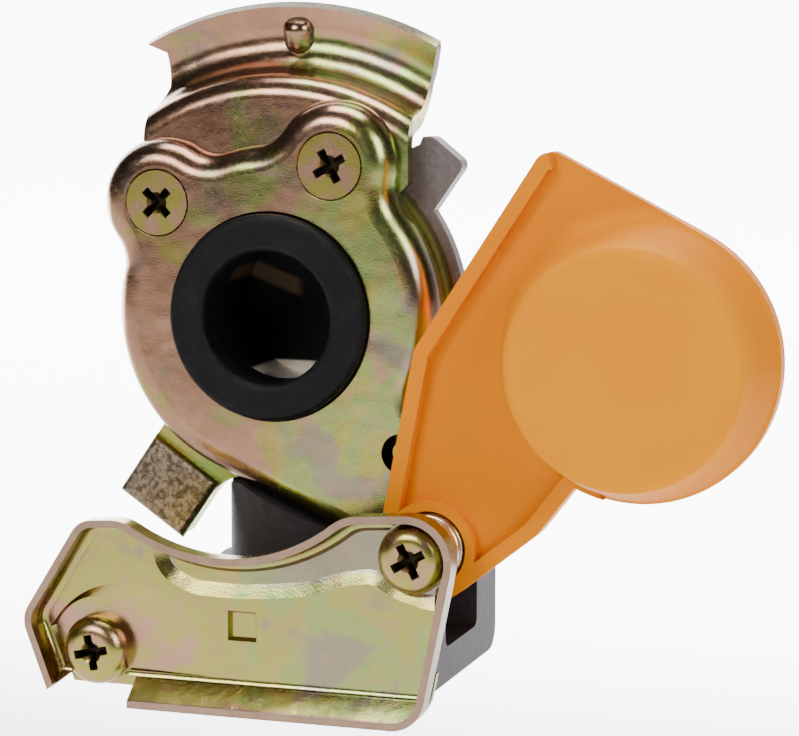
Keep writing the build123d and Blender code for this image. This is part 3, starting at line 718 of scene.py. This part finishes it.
class BuildPortThread(bpy.types.Operator):
    """Cuts the look of a thread into the hose port: one ridge wound along its wall"""
    bl_idname = "coupling.port_thread"
    bl_label = "Port thread"

    def execute(self, context):
        sizes = context.scene.coupling_sizes
        port = named(frame["record"]["mounts"], "hose_port")
        length = port["dims"]["length_mm"] * MM
        mouth = port["pos_m"]
        runout = sizes.thread_pitch
        turns = (length - 2 * runout) / sizes.thread_pitch
        tree = Growth("port_thread", Turns=turns, Ridge=sizes.thread_depth,
                      Wall_Radius=port["dims"]["r_mm"] * MM, Points=int(turns * THREAD_POINTS_PER_TURN),
                      Finish=thread_finish())
        share = tree.node("GeometryNodeSplineParameter")
        top = mouth[2] + length / 2 - runout
        along = tree.span(share, 0.0, 1.0, top, top - length + 2 * runout)
        fade = THREAD_FADE_TURNS / turns
        sunk = tree.span(share, 0.0, fade, 1.0, 0.0) + tree.span(share, 1.0 - fade, 1.0, 0.0, 1.0)
        radius = tree.size("Wall_Radius") + sunk * tree.size("Ridge")
        points = tree.helix(share, tree.size("Turns"), radius, mouth, "Z", along)
        profile = tree.node("GeometryNodeCurvePrimitiveCircle", None, Resolution=THREAD_SIDES,
                            Radius=tree.size("Ridge"))
        tree.piece(tree.wire(points, tree.size("Points"), profile), "head", "cast_aluminium")
        return {"FINISHED"}


class FinishCover(bpy.types.Operator):
    """Gives the dust cover its plastic"""
    bl_idname = "coupling.cover"
    bl_label = "Dust cover"

    def execute(self, context):
        finish_nodes(cover_finish(), "dust_cover")
        return {"FINISHED"}


def face_along(made, direction):
    """Turns a camera or a light so that it looks along a direction."""
    made.rotation_euler = Vector(direction).to_track_quat("-Z", "Y").to_euler()


def backdrop_mesh(height):
    """A floor at a height that bends up into a wall behind the object."""
    angles = [radians(90 * step / SWEEP_STEPS) for step in range(SWEEP_STEPS + 1)]
    bend = [(BACKDROP_BACK + SWEEP_RADIUS * sin(angle), SWEEP_RADIUS * (1 - cos(angle))) for angle in angles]
    rows = [(BACKDROP_FRONT, 0.0), *bend, (BACKDROP_BACK + SWEEP_RADIUS, BACKDROP_TOP)]
    corners = [(side, y, z + height) for y, z in rows for side in (-BACKDROP_HALF_WIDTH, BACKDROP_HALF_WIDTH)]
    faces = [(2 * i, 2 * i + 1, 2 * i + 3, 2 * i + 2) for i in range(len(rows) - 1)]
    mesh = bpy.data.meshes.new("floor")
    mesh.from_pydata(corners, [], faces)
    mesh.shade_smooth()
    return mesh


def area_light(name, place, size, power):
    """A soft light that looks at the origin."""
    light = bpy.data.lights.new(name, "AREA")
    light.shape = "RECTANGLE"
    light.size, light.size_y = size
    light.energy = power
    lamp = placed(name, light)
    lamp.location = place
    face_along(lamp, -Vector(place))


class BuildStage(bpy.types.Operator):
    """Sets the pale backdrop, the soft lights and the camera"""
    bl_idname = "coupling.stage"
    bl_label = "Stage"

    def execute(self, context):
        sizes = context.scene.coupling_stage
        floor = placed("floor", backdrop_mesh(sizes.floor_depth))
        floor.data.materials.append(stage_finish())

        camera = bpy.data.cameras.new("camera")
        camera.lens = sizes.lens
        camera.sensor_width = SENSOR_WIDTH
        camera.sensor_fit = "HORIZONTAL"
        camera.clip_start = CLIP_START
        camera.clip_end = CLIP_END
        eye = placed("camera", camera)
        eye.location = CAMERA_PLACE
        face_along(eye, CAMERA_AIM)
        context.scene.camera = eye

        world = bpy.data.worlds.new("studio")
        context.scene.world = world
        world.use_nodes = True
        ground = world.node_tree.nodes["Background"]
        ground.inputs["Color"].default_value = WORLD_COLOUR
        ground.inputs["Strength"].default_value = WORLD_STRENGTH

        for name, place, size, power in LIGHTS:
            area_light(name, place, size, power)
        return {"FINISHED"}


class CouplingPanel(bpy.types.Panel):
    """Lists the steps that dress the coupling head"""
    bl_idname = "VIEW3D_PT_coupling"
    bl_label = "Palm coupling head"
    bl_space_type = "VIEW_3D"
    bl_region_type = "UI"
    bl_category = "Coupling"

    def draw(self, context):
        for step in STEPS:
            self.layout.operator(step.bl_idname)
        for key in CouplingColours.__annotations__:
            self.layout.prop(context.scene.coupling_colours, key)


STEPS = (BuildStage, FinishCasting, FinishSheet, FinishRing, FinishScrews, BuildSpring, BuildPortThread,
         FinishCover)
CLASSES = (CouplingColours, CouplingSizes, StageSizes, *STEPS, CouplingPanel)


def register():
    for kind in CLASSES:
        bpy.utils.register_class(kind)
    bpy.types.Scene.coupling_colours = bpy.props.PointerProperty(type=CouplingColours)
    bpy.types.Scene.coupling_stage = bpy.props.PointerProperty(type=StageSizes)
    bpy.types.Scene.coupling_sizes = bpy.props.PointerProperty(type=CouplingSizes)


def unregister():
    del bpy.types.Scene.coupling_sizes
    del bpy.types.Scene.coupling_stage
    del bpy.types.Scene.coupling_colours
    for kind in reversed(CLASSES):
        bpy.utils.unregister_class(kind)


def main():
    register()
    for step in STEPS:
        family, name = step.bl_idname.split(".")
        getattr(getattr(bpy.ops, family), name)()


if __name__ == "__main__":
    main()
